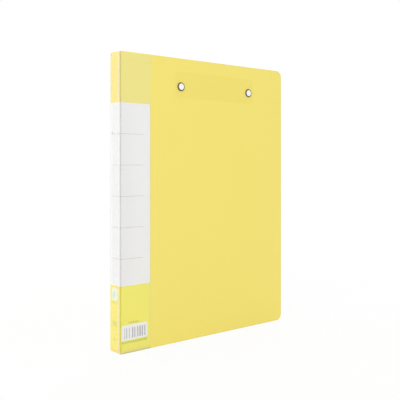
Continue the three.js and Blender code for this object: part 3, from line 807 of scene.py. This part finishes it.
clear_film = film_finish()
rib_step = WELD_PITCH / 4
foot_rows = np.linspace(pocket_low.z, pocket_low.z + FOOT_WELD[0], FOOT_ROWS)
above_foot = foot_rows[-1] + rib_step
fine_rows = np.append(foot_rows, np.arange(above_foot, pocket_high.z, rib_step))
fine_rows[-1] = pocket_high.z
plain_rows = np.concatenate(
    [foot_rows, [above_foot], np.linspace(PLAIN_ROWS_START, pocket_high.z, PLAIN_ROWS)]
)
weld_start, weld_full = (pocket_high.x - size for size in SIDE_WELD)
columns = np.concatenate(
    [
        np.linspace(fold_x, weld_start, COVER_COLUMNS),
        np.linspace(weld_start, weld_full, WELD_COLUMNS)[1:],
        np.linspace(weld_full, pocket_high.x, EDGE_COLUMNS)[1:],
    ]
)
for name, side in SIDES:
    # On the cover, the sheet is the board's face moved out by the lift.
    x, z = np.meshgrid(columns, fine_rows)
    y = side * (fold_y + board_round + film_lift(x - spine_low.x, z))
    points, faces = walled(np.stack([x, y, z], -1), FILM)
    sheet = put_mesh(f"film_{name}_sheet", points, faces, clear_film)
    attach(sheet, f"{name}_cover")
    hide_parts(f"pocket_film_{name}")

    # Round the fold, it is a quarter turn at the board's radius plus the lift.
    turn, z = np.meshgrid(np.radians(np.linspace(0, 90, FOLD_STEPS + 1)), plain_rows)
    radius = board_round + film_lift(np.zeros_like(z), z)
    x = fold_x - radius * np.cos(turn)
    y = side * (fold_y + radius * np.sin(turn))
    points, faces = walled(np.stack([x, y, z], -1), FILM)
    fold = put_mesh(f"film_{name}_fold", points, faces, clear_film)
    blend_fold(fold, side)
    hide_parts(f"pocket_fold_{name}")

y, z = np.meshgrid(np.linspace(fold_y, -fold_y, SPINE_COLUMNS), plain_rows)
x = spine_low.x - film_lift(np.zeros_like(z), z)
points, faces = walled(np.stack([x, y, z], -1), FILM)
sheet = put_mesh("film_spine_sheet", points, faces, clear_film)
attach(sheet, "spine")
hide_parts("pocket_film_spine")

# Clip base plate
# Pressed and nickel-plated steel with two ears bent up from it, which hold the clip's rod.
# The stamped edges are slightly rounded, and the plating dulls in fine brushed lines.
STAMPED_EDGE = 0.12 * MM
EDGE_SEGMENTS = 3
MERGE_DISTANCE = 0.002 * MM
FLAT_DEGREES = 1  # faces that meet at less than this become one
NICKEL_GRAIN = (12, 2600, 2600)  # bumps to a metre, so that the lines run along x
NICKEL = (0.66, 0.65, 0.63, 1)
NICKEL_DULL = (0.42, 0.41, 0.39, 1)


def steel_finish(name, bright, dull, roughness, grain):
    """Steel with fine lines, cloudy dulling and a few scratches.

    grain stretches the noise that makes the lines, in bumps to a metre on each axis.
    """
    material, shader, place = new_finish(name)
    line = place.stretch(grain).noise(1, 3)
    cloud = place.noise(90, 4)
    nick = place.stretch((900, 900, 240)).noise(1, 3).ease(0.7, 0.74)
    worn = (cloud.ease(0.42, 0.72) * 0.2 + line * 0.5 + nick * 0.4).below(1)
    feed_shader(
        shader,
        place,
        Base_Color=worn.tint(bright, dull),
        Metallic=1.0,
        Roughness=roughness + cloud * 0.08 + line * 0.1 + nick * 0.2,
        Normal=(line - nick).bump(0.12, 0.02 * MM),
    )
    return material


def finished_copy(name, node, edge, material):
    """A merged copy of a CAD node with its sharp edges rounded, which stands for the node."""
    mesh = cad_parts[node].data.copy()
    work = bmesh.new()
    work.from_mesh(mesh)
    bmesh.ops.remove_doubles(work, verts=work.verts, dist=MERGE_DISTANCE)
    flat = math.radians(FLAT_DEGREES)
    bmesh.ops.dissolve_limit(work, angle_limit=flat, verts=work.verts, edges=work.edges)
    work.to_mesh(mesh)
    work.free()
    piece = new_piece(name, mesh, material)
    bevel = piece.modifiers.new("edges", "BEVEL")
    bevel.width = edge
    bevel.segments = EDGE_SEGMENTS
    bevel.limit_method = "ANGLE"
    bevel.angle_limit = math.radians(SHARP_DEGREES)
    bevel.harden_normals = True
    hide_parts(node)
    return piece


nickel_plate = steel_finish("nickel_plate", NICKEL, NICKEL_DULL, 0.14, NICKEL_GRAIN)
base = finished_copy(
    "base_plate_steel", "clip_base_plate", STAMPED_EDGE, nickel_plate
)
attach(base, "front_cover")

# Rivets
# Two tubular rivets hold the plate to the cover. Outside, each has a bright flat-crowned head
# with a small dimple, and painted dark reflection and shade round its rim where it meets the
# board; inside, its tube is rolled over on the plate.
HEAD_RADIUS = 4.75 * MM
HEAD_HEIGHT = 1 * MM
CROWN_RADIUS = 3.7 * MM  # of the head's flat middle
RIM_HEIGHT = 0.35 * MM  # of the head's upright rim
RIM_CHAMFER = 0.12 * MM
DIMPLE_RADIUS = 1.65 * MM
DIMPLE_DEPTH = 0.12 * MM
DIMPLE_FLOOR = 0.3  # share of the dimple's radius that is flat
SHANK_RADIUS = 2 * MM
TAIL_RADIUS = 3.2 * MM
TAIL_UNDERCUT = 0.05 * MM
TUBE_BORE = 1.2 * MM  # its radius
BORE_DEPTH = 2.4 * MM
BORE_CHAMFER = 0.1 * MM
ROLL_HEIGHT = 0.8  # the rolled tail's height as a share of a round one's
TURN_STEPS = 48
SHOULDER_STEPS = 8
DIMPLE_STEPS = 6
ROLL_STEPS = 12

# Painted dark reflection and shade round the head's rim:
RIM_SHADED = (3.6 * MM, 3.95 * MM)  # from the rivet's axis
RIM_SHADE_RAGGED = 0.4 * MM
OUTSIDE = (-0.1 * MM, 0.02 * MM)  # out of the cover's face
SWIRL = 2600  # how tightly the polishing lines lie round the axis
RIVET_BRIGHT = (0.985, 0.98, 0.99, 1)
RIVET_RIM_SHADE = (0.075, 0.06, 0.03, 1)


def lathe(profile, steps, place):
    """A closed turned piece: (radius, height) pairs swept round the axis.

    The first and last pair lie on the axis and become single points. place turns the
    coordinates (sideways, sideways, along the axis) into x, y, z.
    """
    turn = np.linspace(0, 2 * np.pi, steps, endpoint=False)
    rings = profile[1:-1]
    ring = np.stack(
        [
            rings[:, :1] * np.cos(turn),
            rings[:, :1] * np.sin(turn),
            np.broadcast_to(rings[:, 1:], (len(rings), steps)),
        ],
        -1,
    ).reshape(-1, 3)
    poles = np.array([[0, 0, profile[0, 1]], [0, 0, profile[-1, 1]]])
    faces = grid_faces(len(rings), steps, ring=True)
    first, last = len(ring), len(ring) + 1
    start = (len(rings) - 1) * steps
    around = np.arange(steps)
    onward = (around + 1) % steps
    faces += np.stack([np.full(steps, first), onward, around], -1).tolist()
    faces += np.stack([np.full(steps, last), start + around, start + onward], -1).tolist()
    return place(np.concatenate([ring, poles])), faces


def rivet_finish(name, centre):
    """Bright plating inside the crown, and a dark rim round it by distance from the axis."""
    material, shader, place = new_finish(name)
    x, y, z = place.axes()
    radius = ((x - centre[0]) ** 2 + (z - centre[1]) ** 2) ** 0.5
    cloud = place.noise(600, 3)
    outside = (front_low.y - y).ease(*OUTSIDE)
    # Painted dark reflection and shade round the head's rim, by distance from the axis.
    rim = (radius + cloud * RIM_SHADE_RAGGED).ease(*RIM_SHADED) * outside
    swirl = (radius * SWIRL + cloud * 3).sine()
    feed_shader(
        shader,
        place,
        Base_Color=(rim * 0.92 + cloud * 0.08).tint(RIVET_BRIGHT, RIVET_RIM_SHADE),
        Metallic=1.0,
        Roughness=0.18 + rim * 0.3 + cloud * 0.1,
        Normal=(swirl + cloud).bump(0.08, 0.02 * MM),
    )
    return material


# The head's shoulder is a quarter ellipse, the dimple a smooth step, the tail half an ellipse.
shoulder = arc(0, 0, 1, 90, 0, SHOULDER_STEPS) * (
    HEAD_RADIUS - CROWN_RADIUS,
    HEAD_HEIGHT - RIM_HEIGHT,
) + (CROWN_RADIUS, RIM_HEIGHT)
dimple_share = np.linspace(0, 1, DIMPLE_STEPS + 1)
dimple_height = HEAD_HEIGHT - DIMPLE_DEPTH * (1 - eased(dimple_share, DIMPLE_FLOOR, 1))
dimple = np.stack([DIMPLE_RADIUS * dimple_share, dimple_height], -1)
roll = (TAIL_RADIUS - TUBE_BORE) / 2
for side, (centre_x, centre_z) in rivet_centres.items():
    low, high = rivet_boxes[side]
    under_head = low.y + HEAD_HEIGHT
    tail_end = under_head - high.y
    roll_middle = (TUBE_BORE + roll, tail_end + ROLL_HEIGHT * roll)
    bore_floor = tail_end + BORE_DEPTH
    profile = np.concatenate(
        [
            dimple,
            shoulder,
            [[HEAD_RADIUS, RIM_CHAMFER], [HEAD_RADIUS - RIM_CHAMFER, 0]],
            [[SHANK_RADIUS, 0], [SHANK_RADIUS, roll_middle[1] + TAIL_UNDERCUT]],
            arc(0, 0, roll, 0, -180, ROLL_STEPS) * (1, ROLL_HEIGHT) + roll_middle,
            [[TUBE_BORE, bore_floor + BORE_CHAMFER], [TUBE_BORE - BORE_CHAMFER, bore_floor]],
            [[0, bore_floor]],
        ]
    )
    points, faces = lathe(
        profile,
        TURN_STEPS,
        lambda p: p[:, [0, 2, 1]] * (1, -1, 1) + (centre_x, under_head, centre_z),
    )
    finish = rivet_finish(f"rivet_plating_{side}", (centre_x, centre_z))
    rivet = put_mesh(f"rivet_{side}_turned", points, faces, finish)
    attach(rivet, "front_cover")
    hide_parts(f"rivet_{side}")

# Clip rod
# A drawn steel rod through the ears and the jaw, with both ends hammered to low round heads.
# It is plated like the plate, and stays fixed in the ears while the jaw turns on it.
ROD_RADIUS = 1.5 * MM
ROD_HEAD_RADIUS = 2.5 * MM
ROD_HEAD = 0.9 * MM
ROD_DOME = 0.675 * MM  # how far the head's end is rounded
ROD_HEAD_CHAMFER = 0.08 * MM
DOME_STEPS = 8

rod_low, rod_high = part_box("clip_rod")
rod_x, rod_y, rod_z = (rod_low + rod_high) / 2
rod_half = (rod_high.x - rod_low.x) / 2
under_rod_head = rod_half - ROD_HEAD
# Half of the profile: a quarter ellipse for the dome, the head's side, its chamfer, the shaft.
half_rod = np.concatenate(
    [
        arc(0, 0, 1, 90, 0, DOME_STEPS) * (ROD_HEAD_RADIUS, ROD_DOME) + (0, rod_half - ROD_DOME),
        [[ROD_HEAD_RADIUS, under_rod_head + ROD_HEAD_CHAMFER]],
        [[ROD_HEAD_RADIUS - ROD_HEAD_CHAMFER, under_rod_head], [ROD_RADIUS, under_rod_head]],
    ]
)
points, faces = lathe(
    np.concatenate([half_rod, half_rod[::-1] * (1, -1)]),
    TURN_STEPS,
    lambda p: p[:, [2, 1, 0]] * (-1, 1, 1) + (rod_x, rod_y, rod_z),
)
rod = put_mesh("clip_rod_turned", points, faces, nickel_plate)
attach(rod, "front_cover")
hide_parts("clip_rod")

# Clip jaw
# One steel plate bent over the rod: a flared lip that presses the paper, a shoulder over the
# springs and a narrower lever to push with the thumb. Its sides turn in round the rod.
jaw = finished_copy("clip_jaw_steel", "clip_jaw", STAMPED_EDGE, nickel_plate)
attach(jaw, "clip_jaw")

# Lip grips
# Soft vinyl sleeves over both ends of the lip, so that it holds the paper without marking it.
# They are dipped, not cut, which leaves round edges, and they are pushed on and stay by grip.
SLEEVE_EDGE = 0.2 * MM
VINYL_BLACK = (0.022, 0.022, 0.024, 1)
VINYL_GREY = (0.05, 0.05, 0.053, 1)


def vinyl_finish():
    """Dipped vinyl: near black, slightly chalky, with an orange-peel skin."""
    material, shader, place = new_finish("soft_vinyl")
    skin = place.noise(700, 2)
    chalk = place.noise(180, 4)
    feed_shader(
        shader,
        place,
        Base_Color=chalk.ease(0.4, 0.75).tint(VINYL_BLACK, VINYL_GREY),
        Roughness=0.5 + chalk * 0.2,
        Normal=skin.bump(0.4, 0.05 * MM),
    )
    return material


soft_vinyl = vinyl_finish()
for side in ("left", "right"):
    grip = finished_copy(
        f"grip_{side}_sleeve", f"lip_grip_{side}", SLEEVE_EDGE, soft_vinyl
    )
    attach(grip, "clip_jaw")

# Springs
# Two torsion springs of hard-drawn wire wound on the rod. One leg of each presses on the base
# plate and the other under the lever. The coil twists as the lever is pushed; here it is built
# only in its rest shape.
WIRE_RADIUS = 0.45 * MM
WIRE_TIP_SHARE = 0.8  # the wire's cut ends are slightly drawn in
COIL_RADIUS = 2.5 * MM
COIL_PITCH = 1.4 * MM
COIL_MIDDLE = 17 * MM  # from the clip's middle
WHOLE_TURNS = 5
BASE_LEG_END = (-5.2 * MM, 9 * MM)  # in y and z, from the rod's axis
LEVER_LEG_END = (3.8 * MM, 9 * MM)
COIL_TURN_STEPS = 24
LEG_STEPS = 8
WIRE_SIDES = 12
SPRING_GRAIN = (900, 900, 900)
SPRING_BRIGHT = (0.46, 0.46, 0.47, 1)
SPRING_DULL = (0.28, 0.28, 0.29, 1)


def tube(line, radii, sides):
    """A round tube: at each point of the line, a ring of that radius square to the line.

    Each ring starts from the direction nearest to x, so the section doesn't twist, and the
    two end rings are closed by a flat face.
    """
    along = np.gradient(line, axis=0)
    along /= np.linalg.norm(along, axis=1)[:, None]
    first = np.array([1.0, 0, 0]) - along[:, :1] * along
    first /= np.linalg.norm(first, axis=1)[:, None]
    second = np.cross(along, first)
    turn = np.linspace(0, 2 * np.pi, sides, endpoint=False)[None, :, None]
    spokes = first[:, None, :] * np.cos(turn) + second[:, None, :] * np.sin(turn)
    points = (line[:, None, :] + radii[:, None, None] * spokes).reshape(-1, 3)
    faces = grid_faces(len(line), sides, ring=True)
    faces.append(np.arange(sides)[::-1].tolist())
    faces.append((np.arange(sides) + (len(line) - 1) * sides).tolist())
    return points, faces


def touch_angle(point, sense):
    """The angle at which a straight leg from the point touches the coil."""
    return math.atan2(point[1], point[0]) + sense * math.acos(COIL_RADIUS / math.hypot(*point))


def spring_line(side):
    """The wire's middle: a straight leg, a helix of even pitch about the rod, a straight leg."""
    start = touch_angle(BASE_LEG_END, 1)
    part_turn = (touch_angle(LEVER_LEG_END, -1) - start) % (2 * math.pi)
    turns = WHOLE_TURNS + part_turn / (2 * math.pi)
    share = np.linspace(0, 1, round(turns * COIL_TURN_STEPS) + 1)
    angle = start + share * turns * 2 * math.pi
    coil = np.stack(
        [
            side * (COIL_MIDDLE + (share - 0.5) * turns * COIL_PITCH),
            COIL_RADIUS * np.cos(angle),
            COIL_RADIUS * np.sin(angle),
        ],
        -1,
    )
    leg = np.linspace(0, 1, LEG_STEPS + 1)[:-1, None]
    base_end = np.array([coil[0, 0], *BASE_LEG_END])
    lever_end = np.array([coil[-1, 0], *LEVER_LEG_END])
    into = base_end + leg * (coil[0] - base_end)
    out = (lever_end + leg * (coil[-1] - lever_end))[::-1]
    return np.concatenate([into, coil, out])


spring_steel = steel_finish("spring_steel", SPRING_BRIGHT, SPRING_DULL, 0.3, SPRING_GRAIN)
for name, side in (("left", -1), ("right", 1)):
    line = spring_line(side) + (rod_x, rod_y, rod_z)
    radii = np.full(len(line), WIRE_RADIUS)
    radii[[0, -1]] *= WIRE_TIP_SHARE
    points, faces = tube(line, radii, WIRE_SIDES)
    spring = put_mesh(f"spring_{name}_wire", points, faces, spring_steel)
    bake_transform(spring)
    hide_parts(f"clip_spring_{name}")

# Floor and light
# The folder stands on a plain pale studio floor that fades into a white background, under even
# light from all round, a large soft lamp on the spine's side and a weaker one behind.
FLOOR_RADIUS = 6.0
FLOOR_RINGS = 24
FLOOR_STEPS = 96
FLOOR_DROP = 0.05 * MM  # keeps it clear of the folder's lower edge
FLOOR_FADED = (0.22, 0.75)  # from the middle, where its shadows start to fade and are gone
FLOOR_GLOW = 0.9  # share of the floor's white that the object doesn't shade
FLOOR_PALE = (0.88, 0.88, 0.88, 1)
FLOOR_SHADE = (0.86, 0.86, 0.86, 1)
WHITE = (1, 1, 1, 1)
SKY_STRENGTH = 0.892
LAMP_SIZE = 1.4
LAMPS = (("soft_lamp", 13.0, (-1.75, -0.95, 1.25)), ("fill_lamp", 12.0, (1.5, 1.6, 1.4)))
LAMP_AIM = (0, 0, 0.15)


def floor_disc(radius, rings, steps):
    """A flat disc: rings at the square of even shares of the radius, round a middle point."""
    share = (np.arange(1, rings + 1) / rings) ** 2 * radius
    turn = np.linspace(0, 2 * np.pi, steps, endpoint=False)
    x = share[:, None] * np.cos(turn)
    y = share[:, None] * np.sin(turn)
    z = np.full_like(x, -FLOOR_DROP)
    points = np.append(np.stack([x, y, z], -1).reshape(-1, 3), [[0, 0, -FLOOR_DROP]], 0)
    faces = [face[::-1] for face in grid_faces(rings, steps, ring=True)]
    around = np.arange(steps)
    middle = np.full(steps, len(points) - 1)
    faces += np.stack([middle, around, (around + 1) % steps], -1).tolist()
    return points, faces


def camera_sees(wire):
    """1 for what the camera sees directly, in a reflection or through glass, 0 for light."""
    kinds = ("Is Camera Ray", "Is Glossy Ray", "Is Transmission Ray")
    direct, mirrored_ray, through = wire.node("LightPath").outputs(*kinds)
    return direct.above(mirrored_ray).above(through)


floor_paint, matt, floor_place = new_finish("studio_floor")
floor_x, floor_y = floor_place.axes()[:2]
away = (floor_x**2 + floor_y**2) ** 0.5
fade = away.ease(*FLOOR_FADED) * (1 - FLOOR_GLOW) + FLOOR_GLOW
speckle = floor_place.noise(300, 2).tint(FLOOR_SHADE, FLOOR_PALE)
feed_shader(matt, floor_place, Base_Color=speckle, Roughness=0.9)
glow = floor_place.node("Emission", {}, {"Color": WHITE, "Strength": 1.0})
matt_wire = Wire(floor_place.tree, matt.outputs[0])
mixed = {0: fade * camera_sees(floor_place), 1: matt_wire, 2: glow}
floor_output = floor_place.tree.nodes["Material Output"]
floor_place.feed(floor_output.inputs["Surface"], floor_place.node("MixShader", {}, mixed))

points, faces = floor_disc(FLOOR_RADIUS, FLOOR_RINGS, FLOOR_STEPS)
put_mesh("studio_floor", points, faces, floor_paint)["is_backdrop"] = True

world = bpy.data.worlds.new("studio_light")
world.use_nodes = True
bpy.context.scene.world = world
sky = Wire(world.node_tree)
background = world.node_tree.nodes["Background"]
background.inputs["Color"].default_value = WHITE
sky.feed(background.inputs["Strength"], camera_sees(sky) * (1 - SKY_STRENGTH) + SKY_STRENGTH)

for name, power, lamp_place in LAMPS:
    lamp = bpy.data.lights.new(name, "AREA")
    lamp.shape = "DISK"
    lamp.size = LAMP_SIZE
    lamp.energy = power
    lamp_object = bpy.data.objects.new(name, lamp)
    bpy.context.scene.collection.objects.link(lamp_object)
    lamp_object.location = lamp_place
    aim = Vector(LAMP_AIM) - Vector(lamp_place)
    lamp_object.rotation_euler = aim.to_track_quat("-Z", "Y").to_euler()

# Camera
# Level with the upper half of the folder and turned towards its spine, as in the photograph.
# It stays upright, and its frame is shifted down, so that the folder's sides stay parallel.
CAMERA_PLACE = (-0.4789, -0.5716, 0.1946)
CAMERA_TURN = -39.66  # degrees, from looking along y
LENS = 58.5
SENSOR = 36
FRAME_SHIFT = -0.0905

camera_data = bpy.data.cameras.new("camera")
camera_data.lens = LENS
camera_data.sensor_width = SENSOR
camera_data.shift_y = FRAME_SHIFT
camera = bpy.data.objects.new("camera", camera_data)
bpy.context.scene.collection.objects.link(camera)
camera.location = CAMERA_PLACE
camera.rotation_euler = (math.radians(90), 0, math.radians(CAMERA_TURN))
bpy.context.scene.camera = camera
bpy.context.scene.view_settings.view_transform = "Standard"

low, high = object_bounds()
